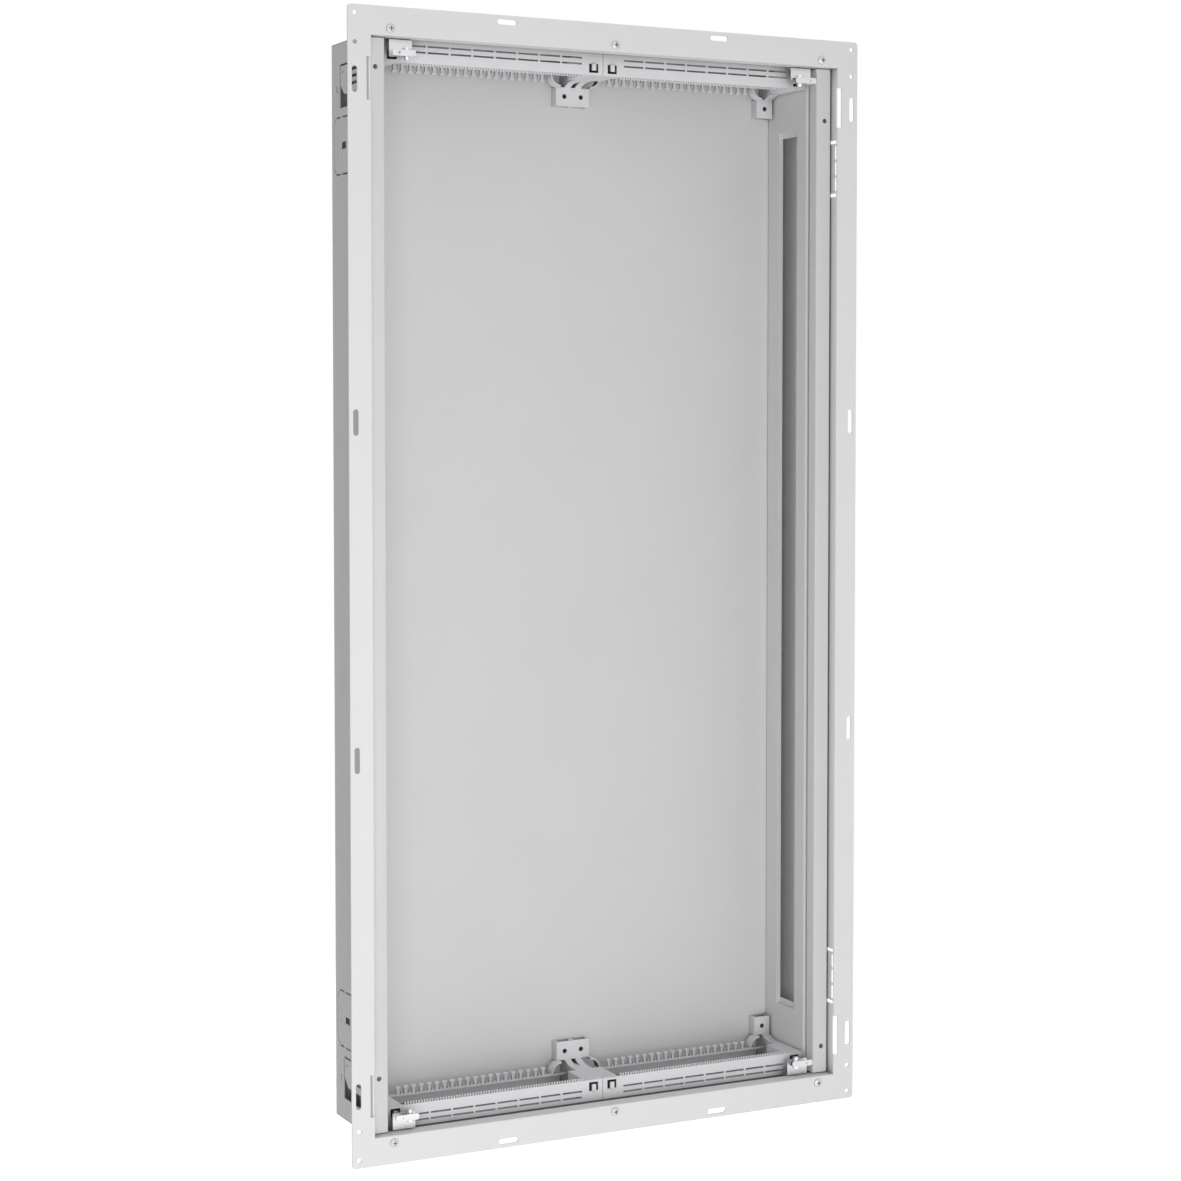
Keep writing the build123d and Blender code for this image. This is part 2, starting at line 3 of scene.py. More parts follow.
import bmesh
import bpy
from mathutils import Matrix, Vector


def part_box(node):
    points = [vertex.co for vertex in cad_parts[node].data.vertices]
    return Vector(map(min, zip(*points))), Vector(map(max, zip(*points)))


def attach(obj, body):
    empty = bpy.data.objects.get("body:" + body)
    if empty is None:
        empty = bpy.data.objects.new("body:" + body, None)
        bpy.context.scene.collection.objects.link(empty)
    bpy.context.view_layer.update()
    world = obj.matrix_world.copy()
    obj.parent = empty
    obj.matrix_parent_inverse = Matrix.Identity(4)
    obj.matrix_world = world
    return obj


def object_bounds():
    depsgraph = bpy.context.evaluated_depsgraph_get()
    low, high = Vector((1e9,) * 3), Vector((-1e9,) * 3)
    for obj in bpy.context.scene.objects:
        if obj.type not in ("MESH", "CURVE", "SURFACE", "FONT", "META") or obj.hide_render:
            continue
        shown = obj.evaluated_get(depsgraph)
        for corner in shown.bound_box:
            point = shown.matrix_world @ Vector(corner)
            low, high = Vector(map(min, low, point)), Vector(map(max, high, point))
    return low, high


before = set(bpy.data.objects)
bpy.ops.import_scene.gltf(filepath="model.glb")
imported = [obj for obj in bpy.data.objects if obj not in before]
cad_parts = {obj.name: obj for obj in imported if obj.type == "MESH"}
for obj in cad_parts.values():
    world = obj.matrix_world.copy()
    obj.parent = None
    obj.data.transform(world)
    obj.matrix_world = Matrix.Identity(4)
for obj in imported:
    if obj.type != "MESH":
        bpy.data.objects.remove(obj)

bl_info = {
    "name": "Flush distribution board finish",
    "version": (1, 0, 0),
    "blender": (4, 5, 0),
    "location": "3D View > Sidebar > Board",
    "description": "Coats the sheets, finishes the mouldings and plated parts, and sets the stage",
    "category": "Object",
}

CAD_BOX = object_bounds()
CORNERS = ("top_right", "top_left", "bottom_right", "bottom_left")
BOARD = "board"
MM = 0.001

# Darkest and lightest tone of each finish, as shares of its colour
COAT_TONES = (0.985, 1.015)
SPANGLE_TONES = (0.88, 1.12)
PLASTIC_TONES = (0.98, 1.02)
STREAK_TONES = (0.93, 1.06)
# Tone of painted shade at a place that is shut off from the light
DEEP_TONE = 0.12
# Weight of the fine grain in the mottle of a finish, and the range that the mottle lies in
COAT_GRAIN = 0.45
COAT_MOTTLE = (0.4, 1.05)
PLASTIC_GRAIN = 0.35
PLASTIC_MOTTLE = (0.4, 0.95)
# Range that nearly all of a noise pattern lies in
NOISE_RANGE = (0.3, 0.7)
# Roughness of the brightest and of the dullest zinc crystal
SPANGLE_SHEEN = (0.42, 0.6)
# Scale that draws the streaks of the plating out along the sheet
STREAK_DRAW = (0.12, 1, 1)
# A Mix node has several sockets of each name, so those for colours go by number
MIX_FACTOR = 0
MIX_A = 6
MIX_B = 7
MIX_RESULT = 2


def linear(code):
    """Turns an sRGB hex colour into the linear values that shaders take."""
    parts = [int(code[place:place + 2], 16) / 255 for place in (1, 3, 5)]
    return [part / 12.92 if part <= 0.04045 else ((part + 0.055) / 1.055) ** 2.4 for part in parts]


def tone(colour, share):
    """Makes a colour darker or lighter, for a shader's colour socket."""
    return [min(part * share, 1) for part in colour] + [1]


def add_node(tree, kind, settings=None, inputs=None):
    """Adds a node, sets its options, and fills or links its inputs."""
    node = tree.nodes.new(kind)
    for name, value in (settings or {}).items():
        setattr(node, name, value)
    for socket, value in (inputs or {}).items():
        if isinstance(value, bpy.types.NodeSocket):
            tree.links.new(value, node.inputs[socket])
        else:
            node.inputs[socket].default_value = value
    return node


class BoardCoats(bpy.types.PropertyGroup):
    """Powder coats of the sheet-metal pieces, and the zinc of the end plates."""

    flange_colour: bpy.props.FloatVectorProperty(
        name="Flange colour", description="Coat of the wall flange",
        default=linear("#ECECED"), subtype="COLOR", min=0, max=1)
    trough_colour: bpy.props.FloatVectorProperty(
        name="Trough colour", description="Coat of the folded trough and the side liners",
        default=linear("#DBDBDC"), subtype="COLOR", min=0, max=1)
    roughness: bpy.props.FloatProperty(
        name="Roughness", description="How satin the cured coat is",
        default=0.46, min=0, max=1, subtype="FACTOR")
    roughness_spread: bpy.props.FloatProperty(
        name="Roughness spread", description="How far the grain moves the roughness up and down",
        default=0.05, min=0, max=1, subtype="FACTOR")
    peel: bpy.props.FloatProperty(
        name="Peel size", description="Width of the waves in the cured film",
        default=2.4 * MM, unit="LENGTH")
    peel_height: bpy.props.FloatProperty(
        name="Peel height", description="Height of the waves in the cured film",
        default=0.12 * MM, unit="LENGTH")
    grain: bpy.props.FloatProperty(
        name="Grain size", description="Width of the film's fine grain",
        default=0.7 * MM, unit="LENGTH")
    grain_height: bpy.props.FloatProperty(
        name="Grain height", description="Height of the film's fine grain",
        default=0.05 * MM, unit="LENGTH")
    drift: bpy.props.FloatProperty(
        name="Drift size", description="Width of the slow changes in tone",
        default=90 * MM, unit="LENGTH")
    flange_fold: bpy.props.FloatProperty(
        name="Flange fold", description="Reach over which a near face shades the flange",
        default=30 * MM, unit="LENGTH")
    flange_clear: bpy.props.FloatProperty(
        name="Flange clear", description="Share of open room that leaves the flange its full colour",
        default=0.75, min=0, max=1, subtype="FACTOR")
    trough_fold: bpy.props.FloatProperty(
        name="Trough fold", description="Reach over which a near face shades the trough",
        default=10 * MM, unit="LENGTH")
    trough_clear: bpy.props.FloatProperty(
        name="Trough clear", description="Share of open room that leaves the trough its full colour",
        default=0.45, min=0, max=1, subtype="FACTOR")
    liner_fold: bpy.props.FloatProperty(
        name="Liner fold", description="Reach over which a near face shades the liners",
        default=60 * MM, unit="LENGTH")
    liner_clear: bpy.props.FloatProperty(
        name="Liner clear", description="Share of open room that leaves the liners their full colour",
        default=0.12, min=0, max=1, subtype="FACTOR")
    # The end plates' colour is set darker than dull zinc, as painted shade for the cable gaps that they
    # floor
    end_colour: bpy.props.FloatVectorProperty(
        name="End plate colour", description="Dull zinc of the galvanised end plates",
        default=linear("#8E9092"), subtype="COLOR", min=0, max=1)
    spangle: bpy.props.FloatProperty(
        name="Spangle", description="Width of a zinc crystal on the end plates",
        default=3 * MM, unit="LENGTH")
    end_fold: bpy.props.FloatProperty(
        name="End plate fold", description="Reach over which a near face shades the end plates",
        default=30 * MM, unit="LENGTH")
    end_clear: bpy.props.FloatProperty(
        name="End plate clear", description="Share of open room that leaves the plates their full colour",
        default=0.75, min=0, max=1, subtype="FACTOR")


class BoardMouldings(bpy.types.PropertyGroup):
    """Finish of the moulded cable-entry frames, and the sizes of their grip ribs and comb nubs."""

    colour: bpy.props.FloatVectorProperty(
        name="Colour", description="Through-dyed colour of the mouldings",
        default=linear("#E7E7E9"), subtype="COLOR", min=0, max=1)
    roughness: bpy.props.FloatProperty(
        name="Roughness", description="Matt finish of the mould",
        default=0.52, min=0, max=1, subtype="FACTOR")
    roughness_spread: bpy.props.FloatProperty(
        name="Roughness spread", description="How far the grain moves the roughness up and down",
        default=0.06, min=0, max=1, subtype="FACTOR")
    grain: bpy.props.FloatProperty(
        name="Grain size", description="Width of the mould's eroded grain",
        default=0.9 * MM, unit="LENGTH")
    grain_height: bpy.props.FloatProperty(
        name="Grain height", description="Height of the mould's eroded grain",
        default=0.06 * MM, unit="LENGTH")
    flow: bpy.props.FloatProperty(
        name="Flow size", description="Width of the faint flow marks",
        default=30 * MM, unit="LENGTH")
    fold: bpy.props.FloatProperty(
        name="Fold", description="Reach over which a near face shades a slot",
        default=30 * MM, unit="LENGTH")
    clear: bpy.props.FloatProperty(
        name="Clear", description="Share of open room that leaves the mouldings their full colour",
        default=0.75, min=0, max=1, subtype="FACTOR")
    wall_rear: bpy.props.FloatProperty(
        name="Wall rear", description="Depth from the frame's foremost point to its front wall's rear",
        default=3.7 * MM, unit="LENGTH")
    wall_height: bpy.props.FloatProperty(
        name="Wall height", description="Height of the front wall",
        default=22.1 * MM, unit="LENGTH")
    arm_width: bpy.props.FloatProperty(
        name="Arm width", description="Width of the arms that stop the rib rows",
        default=19 * MM, unit="LENGTH")
    rib_pitch: bpy.props.FloatProperty(
        name="Rib pitch", description="Distance from rib to rib",
        default=2.9 * MM, unit="LENGTH")
    rib_size: bpy.props.FloatVectorProperty(
        name="Rib size", description="Width, depth and height of a grip rib, half of it in the wall",
        default=(1.4 * MM, 1.6 * MM, 4.4 * MM), subtype="XYZ", unit="LENGTH")
    nub_count: bpy.props.IntProperty(
        name="Nub count", description="Gaps between the comb teeth of one frame",
        default=19, min=2)
    nub_pitch: bpy.props.FloatProperty(
        name="Nub pitch", description="Distance from comb tooth to comb tooth",
        default=8.62 * MM, unit="LENGTH")
    nub_size: bpy.props.FloatVectorProperty(
        name="Nub size", description="Width, depth and height of a nub, partly in the comb's bar",
        default=(1.4 * MM, 2.4 * MM, 2.0 * MM), subtype="XYZ", unit="LENGTH")
    nub_drop: bpy.props.FloatProperty(
        name="Nub drop", description="Distance of the nubs from the frame's outer edge",
        default=15.7 * MM, unit="LENGTH")
    nub_depth: bpy.props.FloatProperty(
        name="Nub depth", description="Distance of the comb's middle from the frame's rear",
        default=18.75 * MM, unit="LENGTH")


class BoardPlating(bpy.types.PropertyGroup):
    """Zinc plating of the catches, pins and screws, and the sizes of the screw thread."""

    catch_colour: bpy.props.FloatVectorProperty(
        name="Catch colour", description="Clear bright zinc of the catches",
        default=linear("#DADBDC"), subtype="COLOR", min=0, max=1)
    pin_colour: bpy.props.FloatVectorProperty(
        name="Pin colour", description="Bright zinc of the turned pins",
        default=linear("#E6E8E9"), subtype="COLOR", min=0, max=1)
    screw_colour: bpy.props.FloatVectorProperty(
        name="Screw colour", description="Bright zinc of the frame screws",
        default=linear("#D2D3D4"), subtype="COLOR", min=0, max=1)
    roughness: bpy.props.FloatProperty(
        name="Roughness", description="How bright the plating is",
        default=0.34, min=0, max=1, subtype="FACTOR")
    roughness_spread: bpy.props.FloatProperty(
        name="Roughness spread", description="How far the streaks move the roughness up and down",
        default=0.07, min=0, max=1, subtype="FACTOR")
    streak: bpy.props.FloatProperty(
        name="Streak width", description="Width of the faint streaks in the plating",
        default=1.2 * MM, unit="LENGTH")
    streak_height: bpy.props.FloatProperty(
        name="Streak height", description="Height of the faint streaks in the plating",
        default=0.03 * MM, unit="LENGTH")
    catch_fold: bpy.props.FloatProperty(
        name="Catch fold", description="Reach over which a near face shades the catches",
        default=8 * MM, unit="LENGTH")
    catch_clear: bpy.props.FloatProperty(
        name="Catch clear", description="Share of open room that leaves the catches their full colour",
        default=0.5, min=0, max=1, subtype="FACTOR")
    screw_fold: bpy.props.FloatProperty(
        name="Screw fold", description="Reach over which a near face shades the screw heads",
        default=3.5 * MM, unit="LENGTH")
    screw_clear: bpy.props.FloatProperty(
        name="Screw clear", description="Share of open room that leaves the screws their full colour",
        default=1.0, min=0, max=1, subtype="FACTOR")
    head: bpy.props.FloatProperty(
        name="Head", description="Diameter of the screw head",
        default=8.6 * MM, unit="LENGTH")
    shank: bpy.props.FloatProperty(
        name="Shank", description="Diameter of the plain screw shank",
        default=4.8 * MM, unit="LENGTH")
    thread_start: bpy.props.FloatProperty(
        name="Thread start", description="Depth behind the flange's rear face where the thread begins",
        default=1.5 * MM, unit="LENGTH")
    thread_pitch: bpy.props.FloatProperty(
        name="Thread pitch", description="Rise of the thread in one turn",
        default=0.8 * MM, unit="LENGTH")
    thread_ridge: bpy.props.FloatProperty(
        name="Thread ridge", description="How far the thread stands out of the shank",
        default=0.1 * MM, unit="LENGTH")
    thread_round: bpy.props.FloatProperty(
        name="Thread round", description="Radius of the thread's own section",
        default=0.3 * MM, unit="LENGTH")


class BoardStage(bpy.types.PropertyGroup):
    """Floor, lights and camera."""

    floor_colour: bpy.props.FloatVectorProperty(
        name="Floor colour", description="Colour of the pale floor",
        default=linear("#F2F2F2"), subtype="COLOR", min=0, max=1)
    floor_lift: bpy.props.FloatProperty(
        name="Floor lift", description="Glow that lets the floor show white but keep its shadow",
        default=0.62, min=0)
    floor_drop: bpy.props.FloatProperty(
        name="Floor drop", description="Distance from the board's lower edge to the floor",
        default=0.4, unit="LENGTH")
    floor_half: bpy.props.FloatProperty(
        name="Floor half", description="Half the edge of the square floor",
        default=12.0, unit="LENGTH")
    room_light: bpy.props.FloatProperty(
        name="Room light", description="Level of the even light from all round",
        default=0.47, min=0)
    room_lean: bpy.props.FloatVectorProperty(
        name="Room lean", description="How much brighter the room is to the right, at the back and above",
        default=(0.3, 0, -0.06), subtype="XYZ")
    light_size: bpy.props.FloatProperty(
        name="Light size", description="Edge of both large soft lights",
        default=1.6, unit="LENGTH")
    key_power: bpy.props.FloatProperty(
        name="Key power", description="Power of the large soft light in front",
        default=19.6, min=0, unit="POWER")
    key_place: bpy.props.FloatVectorProperty(
        name="Key place", description="Place of the large soft light in front",
        default=(-0.62, -1.8, -0.25), subtype="TRANSLATION")
    rear_power: bpy.props.FloatProperty(
        name="Rear power", description="Power of the large soft light behind",
        default=15.0, min=0, unit="POWER")
    rear_place: bpy.props.FloatVectorProperty(
        name="Rear place", description="Place of the large soft light behind",
        default=(0.7, 2.2, 0.5), subtype="TRANSLATION")
    lens: bpy.props.FloatProperty(
        name="Lens", description="Focal length of the camera, in millimetres",
        default=76.164)
    sensor: bpy.props.FloatProperty(
        name="Sensor", description="Width of the camera's sensor, in millimetres",
        default=36.0)
    camera_place: bpy.props.FloatVectorProperty(
        name="Camera place", description="Place of the camera",
        default=(-1.15673, -2.24601, 0.17506), subtype="TRANSLATION")
    camera_turn: bpy.props.FloatVectorProperty(
        name="Camera turn", description="Turn of the camera",
        default=(math.radians(87.491), 0, math.radians(-26.695)), subtype="EULER")
    camera_shift: bpy.props.FloatProperty(
        name="Camera shift", description="Upward shift of the frame, as a share of its width",
        default=-0.06)


def start_material(name):
    """Starts a material with an empty tree."""
    material = bpy.data.materials.new(name)
    material.use_nodes = True
    tree = material.node_tree
    tree.nodes.clear()
    return material, tree


def shade_folds(tree, shade, colour, reach, clear):
    """Paints shade into a colour where near faces shut out the light, so slots and folds read as deep.
    A place that sees more open room than the clear share keeps its colour."""
    sky = add_node(tree, "ShaderNodeAmbientOcclusion", {"samples": 8}, {"Distance": reach})
    share = add_node(tree, "ShaderNodeMapRange", {"interpolation_type": "SMOOTHSTEP"},
                     {"Value": sky.outputs["AO"], "From Max": clear})
    mixed = add_node(tree, "ShaderNodeMix", {"data_type": "RGBA"},
                     {MIX_FACTOR: share.outputs["Result"], MIX_A: tone(colour, DEEP_TONE), MIX_B: shade})
    return mixed.outputs[MIX_RESULT]


def powder_coat(name, colour, coats, reach, clear):
    """Powder-coated sheet steel: sprayed dry and cured, so the eye sees a satin skin with soft
    waves, a fine grain and a slow drift in tone that hardly shows."""
    material, tree = start_material(name)
    place = add_node(tree, "ShaderNodeTexCoord").outputs["Object"]
    drift = add_node(tree, "ShaderNodeTexNoise", None,
                     {"Vector": place, "Scale": 1 / coats.drift, "Detail": 2.0, "Roughness": 0.5})
    # The grain is drawn about twice as coarse as the real one, so that it shows in a render
    grain = add_node(tree, "ShaderNodeTexNoise", None,
                     {"Vector": place, "Scale": 1 / coats.grain, "Detail": 2.0, "Roughness": 0.6})
    peel = add_node(tree, "ShaderNodeTexNoise", None,
                    {"Vector": place, "Scale": 1 / coats.peel, "Detail": 1.0, "Roughness": 0.4})
    mottle = add_node(tree, "ShaderNodeMath", {"operation": "MULTIPLY_ADD"},
                      {0: grain.outputs["Fac"], 1: COAT_GRAIN, 2: drift.outputs["Fac"]})
    spread = add_node(tree, "ShaderNodeMapRange", None,
                      {"Value": mottle.outputs[0], "From Min": COAT_MOTTLE[0], "From Max": COAT_MOTTLE[1]})
    shade = add_node(tree, "ShaderNodeMix", {"data_type": "RGBA"},
                     {MIX_FACTOR: spread.outputs["Result"], MIX_A: tone(colour, COAT_TONES[0]),
                      MIX_B: tone(colour, COAT_TONES[1])})
    sheen = add_node(tree, "ShaderNodeMapRange", None,
                     {"Value": grain.outputs["Fac"], "From Min": NOISE_RANGE[0], "From Max": NOISE_RANGE[1],
                      "To Min": coats.roughness - coats.roughness_spread,
                      "To Max": coats.roughness + coats.roughness_spread})
    waves = add_node(tree, "ShaderNodeBump", None,
                     {"Height": peel.outputs["Fac"], "Strength": 0.18, "Distance": coats.peel_height})
    skin = add_node(tree, "ShaderNodeBump", None,
                    {"Height": grain.outputs["Fac"], "Strength": 0.12, "Distance": coats.grain_height,
                     "Normal": waves.outputs["Normal"]})
    # Painted shade: the coat's colour darkens in folds, slots and corners where near faces shut out the
    # light
    base = shade_folds(tree, shade.outputs[MIX_RESULT], colour, reach, clear)
    shader = add_node(tree, "ShaderNodeBsdfPrincipled", None,
                      {"Base Color": base, "Roughness": sheen.outputs["Result"],
                       "Normal": skin.outputs["Normal"], "IOR": 1.5})
    add_node(tree, "ShaderNodeOutputMaterial", None, {"Surface": shader.outputs["BSDF"]})
    return material


def galvanised_sheet(name, coats):
    """Hot-dip galvanised steel: a grey metal skin of zinc crystals, each a little lighter or darker than
    the next, so the eye sees a faint mottle without clear reflections. Its colour is zinc dull with age and
    set darker still, as painted shade for the cable gaps that the plates floor."""
    material, tree = start_material(name)
    colour = coats.end_colour
    place = add_node(tree, "ShaderNodeTexCoord").outputs["Object"]
    crystals = add_node(tree, "ShaderNodeTexVoronoi", None,
                        {"Vector": place, "Scale": 1 / coats.spangle, "Randomness": 1.0})
    chance = add_node(tree, "ShaderNodeSeparateColor", None, {"Color": crystals.outputs["Color"]})
    shade = add_node(tree, "ShaderNodeMix", {"data_type": "RGBA"},
                     {MIX_FACTOR: chance.outputs["Red"], MIX_A: tone(colour, SPANGLE_TONES[0]),
                      MIX_B: tone(colour, SPANGLE_TONES[1])})
    sheen = add_node(tree, "ShaderNodeMapRange", None,
                     {"Value": chance.outputs["Green"], "To Min": SPANGLE_SHEEN[0],
                      "To Max": SPANGLE_SHEEN[1]})
    # Painted shade: the zinc darkens where near faces shut out the light, as behind the entry frames' front
    # walls
    base = shade_folds(tree, shade.outputs[MIX_RESULT], colour, coats.end_fold, coats.end_clear)
    shader = add_node(tree, "ShaderNodeBsdfPrincipled", None,
                      {"Base Color": base, "Metallic": 1.0, "Roughness": sheen.outputs["Result"]})
    add_node(tree, "ShaderNodeOutputMaterial", None, {"Surface": shader.outputs["BSDF"]})
    return material


def moulded_abs(name, mouldings):
    """Injection-moulded ABS, dyed through: a matt, slightly cool light grey with the mould's fine
    eroded grain and faint flow marks, so highlights spread softly along its edges."""
    material, tree = start_material(name)
    colour = mouldings.colour
    place = add_node(tree, "ShaderNodeTexCoord").outputs["Object"]
    flow = add_node(tree, "ShaderNodeTexNoise", None,
                    {"Vector": place, "Scale": 1 / mouldings.flow, "Detail": 1.0, "Distortion": 0.6})
    # The grain is drawn about three times as coarse as the real one, so that it shows in a render
    grain = add_node(tree, "ShaderNodeTexNoise", None,
                     {"Vector": place, "Scale": 1 / mouldings.grain, "Detail": 2.0, "Roughness": 0.55})
    mottle = add_node(tree, "ShaderNodeMath", {"operation": "MULTIPLY_ADD"},
                      {0: grain.outputs["Fac"], 1: PLASTIC_GRAIN, 2: flow.outputs["Fac"]})
    spread = add_node(tree, "ShaderNodeMapRange", None,
                      {"Value": mottle.outputs[0], "From Min": PLASTIC_MOTTLE[0],
                       "From Max": PLASTIC_MOTTLE[1]})
    shade = add_node(tree, "ShaderNodeMix", {"data_type": "RGBA"},
                     {MIX_FACTOR: spread.outputs["Result"], MIX_A: tone(colour, PLASTIC_TONES[0]),
                      MIX_B: tone(colour, PLASTIC_TONES[1])})
    sheen = add_node(tree, "ShaderNodeMapRange", None,
                     {"Value": grain.outputs["Fac"], "From Min": NOISE_RANGE[0], "From Max": NOISE_RANGE[1],
                      "To Min": mouldings.roughness - mouldings.roughness_spread,
                      "To Max": mouldings.roughness + mouldings.roughness_spread})
    skin = add_node(tree, "ShaderNodeBump", None,
                    {"Height": grain.outputs["Fac"], "Strength": 0.15, "Distance": mouldings.grain_height})
    # Painted shade: the plastic darkens in vents, comb gaps and corners where near faces shut out the light
    base = shade_folds(tree, shade.outputs[MIX_RESULT], colour, mouldings.fold, mouldings.clear)
    shader = add_node(tree, "ShaderNodeBsdfPrincipled", None,
                      {"Base Color": base, "Roughness": sheen.outputs["Result"],
                       "Normal": skin.outputs["Normal"], "IOR": 1.53})
    add_node(tree, "ShaderNodeOutputMaterial", None, {"Surface": shader.outputs["BSDF"]})
    return material


def zinc_plate(name, colour, plating, reach, clear):
    """Bright zinc-plated steel: a thin bright metal skin over the rolled sheet, so the eye sees
    soft reflections broken by fine streaks along the rolling direction."""
    material, tree = start_material(name)
    place = add_node(tree, "ShaderNodeTexCoord").outputs["Object"]
    drawn = add_node(tree, "ShaderNodeMapping", None, {"Vector": place, "Scale": STREAK_DRAW})
    streak = add_node(tree, "ShaderNodeTexNoise", None,
                      {"Vector": drawn.outputs["Vector"], "Scale": 1 / plating.streak, "Detail": 2.0})
    shade = add_node(tree, "ShaderNodeMix", {"data_type": "RGBA"},
                     {MIX_FACTOR: streak.outputs["Fac"], MIX_A: tone(colour, STREAK_TONES[0]),
                      MIX_B: tone(colour, STREAK_TONES[1])})
    sheen = add_node(tree, "ShaderNodeMapRange", None,
                     {"Value": streak.outputs["Fac"],
                      "From Min": NOISE_RANGE[0], "From Max": NOISE_RANGE[1],
                      "To Min": plating.roughness - plating.roughness_spread,
                      "To Max": plating.roughness + plating.roughness_spread})
    skin = add_node(tree, "ShaderNodeBump", None,
                    {"Height": streak.outputs["Fac"], "Strength": 0.1, "Distance": plating.streak_height})
    # Painted shade: the plating darkens in recesses and round the screw heads where near faces shut out the
    # light
    base = shade_folds(tree, shade.outputs[MIX_RESULT], colour, reach, clear)
    shader = add_node(tree, "ShaderNodeBsdfPrincipled", None,
                      {"Base Color": base, "Metallic": 1.0, "Roughness": sheen.outputs["Result"],
                       "Normal": skin.outputs["Normal"]})
    add_node(tree, "ShaderNodeOutputMaterial", None, {"Surface": shader.outputs["BSDF"]})
    return material


def finish_nodes(names, material):
    """Gives CAD nodes their material."""
    for name in names:
        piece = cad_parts[name]
        if not piece.material_slots:
            raise RuntimeError(f"{name} has no material slot")
        for slot in piece.material_slots:
            slot.material = material


def start_tree(name, sizes):
    """Starts a geometry tree with a geometry input, named length inputs and a material input."""
    tree = bpy.data.node_groups.new(name, "GeometryNodeTree")
    tree.interface.new_socket("Geometry", in_out="INPUT", socket_type="NodeSocketGeometry")
    for size in sizes:
        tree.interface.new_socket(size, in_out="INPUT", socket_type="NodeSocketFloat")
    tree.interface.new_socket("Material", in_out="INPUT", socket_type="NodeSocketMaterial")
    tree.interface.new_socket("Geometry", in_out="OUTPUT", socket_type="NodeSocketGeometry")
    return tree, add_node(tree, "NodeGroupInput").outputs


def end_tree(tree, instances, material):
    """Ends a geometry tree with real geometry that carries its material."""
    real = add_node(tree, "GeometryNodeRealizeInstances", None, {"Geometry": instances})
    coated = add_node(tree, "GeometryNodeSetMaterial", None,
                      {"Geometry": real.outputs["Geometry"], "Material": material})
    add_node(tree, "NodeGroupOutput", None, {"Geometry": coated.outputs["Geometry"]})


def grow(name, points, edges, tree, values):
    """Runs a geometry tree on a few points or edges, and leaves its result as a plain mesh."""
    seed = bpy.data.meshes.new(name + "_seed")
    seed.from_pydata(points, edges, [])
    piece = bpy.data.objects.new(name, seed)
    bpy.context.scene.collection.objects.link(piece)
    modifier = piece.modifiers.new("Grow", "NODES")
    modifier.node_group = tree
    for item in tree.interface.items_tree:
        if item.in_out == "INPUT" and item.name in values:
            modifier[item.identifier] = values[item.name]
    graph = bpy.context.evaluated_depsgraph_get()
    grown = bpy.data.meshes.new_from_object(piece.evaluated_get(graph))
    piece.modifiers.clear()
    if not grown.polygons:
        raise RuntimeError(f"{name} came out empty")
    grown.name = name
    piece.data = grown
    bpy.data.meshes.remove(seed)
    return piece


class BOARD_OT_coat_sheets(bpy.types.Operator):
    """Coat the flange, the trough and the side liners, and give the end plates their zinc"""

    bl_idname = "board.coat_sheets"
    bl_label = "Coat sheets"

    def execute(self, context):
        coats = context.scene.board_coats
        flange = powder_coat("powder_coated_steel_flange", coats.flange_colour, coats,
                             coats.flange_fold, coats.flange_clear)
        trough = powder_coat("powder_coated_steel_trough", coats.trough_colour, coats,
                             coats.trough_fold, coats.trough_clear)
        # The liners take the trough's colour in a copy of their own, with painted shade of longer reach, so
        # small holes onto them read dark
        liner = powder_coat("powder_coated_steel_liner", coats.trough_colour, coats,
                            coats.liner_fold, coats.liner_clear)
        zinc = galvanised_sheet("galvanised_steel_end", coats)
        finish_nodes(["flange_frame"], flange)
        finish_nodes(["trough_shell"], trough)
        finish_nodes(["side_liner_left", "side_liner_right"], liner)
        finish_nodes(["end_plate_top", "end_plate_bottom"], zinc)
        return {"FINISHED"}


